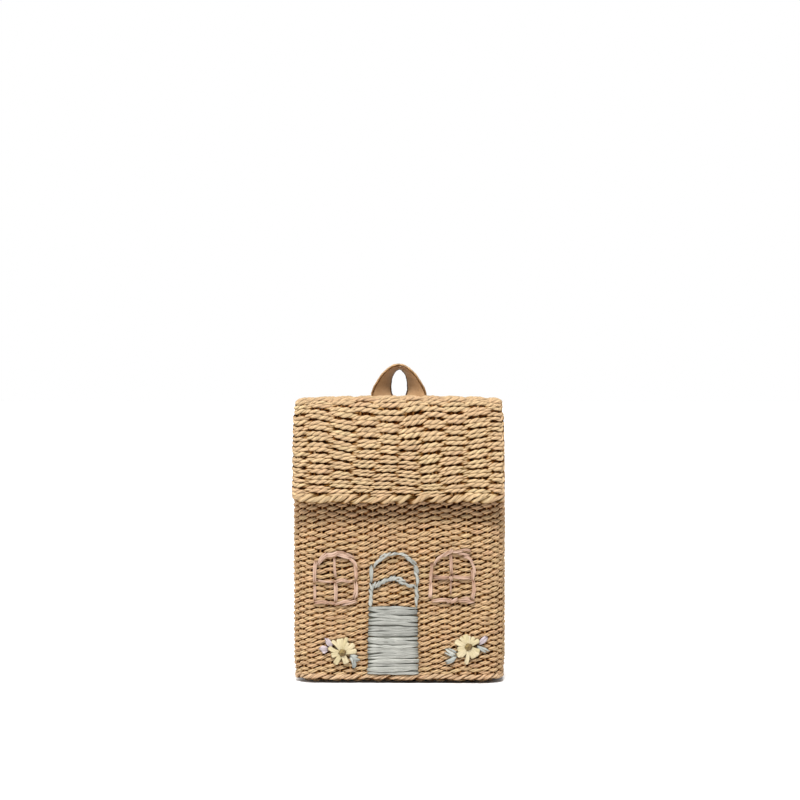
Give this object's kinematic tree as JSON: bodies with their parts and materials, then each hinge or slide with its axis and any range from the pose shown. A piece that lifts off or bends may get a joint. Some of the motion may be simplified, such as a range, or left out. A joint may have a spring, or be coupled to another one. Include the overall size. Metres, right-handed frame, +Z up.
{
  "type": "woven backpack",
  "caption": "Child's upright backpack woven of twisted paper cord like a little house, with a roof-like front flap, tape grab loop, shoulder straps and raffia embroidery.",
  "frame": {"origin": "middle of the woven base, on the surface that the backpack stands on", "axes": "+Z up, the embroidered front faces -Y, +X to the right seen from the front"},
  "size_m": [0.213, 0.1473, 0.3167],
  "materials": {
    "body_cord": "matt twisted paper cord",
    "flap_cord": "matt twisted paper cord",
    "braid_cord": "matt twisted paper cord",
    "tape": "cotton twill tape",
    "door_raffia": "flat raffia, satin stitched",
    "pink_raffia": "twisted raffia line",
    "petal_raffia": "flat raffia stitches",
    "knot_raffia": "knotted raffia",
    "lilac_raffia": "flat raffia stitches",
    "blue_grey_raffia": "flat raffia stitches"
  },
  "bodies": {
    "root": {"woven_body": "body_cord", "base_braid": "braid_cord", "flap": "flap_cord", "flap_braid": "braid_cord", "handle_loop": "tape", "shoulder_strap_left": "tape", "shoulder_strap_right": "tape", "door_panel": "door_raffia", "door_arch": "door_raffia", "door_fanlight": "door_raffia", "window_left": "pink_raffia", "window_right": "pink_raffia", "flower_left": "petal_raffia", "flower_right": "petal_raffia", "flower_knot_left": "knot_raffia", "flower_knot_right": "knot_raffia", "leaf_left_1": "lilac_raffia", "leaf_left_2": "lilac_raffia", "leaf_left_3": "blue_grey_raffia", "leaf_left_4": "blue_grey_raffia", "leaf_right_1": "lilac_raffia", "leaf_right_2": "blue_grey_raffia", "leaf_right_3": "blue_grey_raffia", "leaf_right_4": "blue_grey_raffia"}
  },
  "joints": []
}
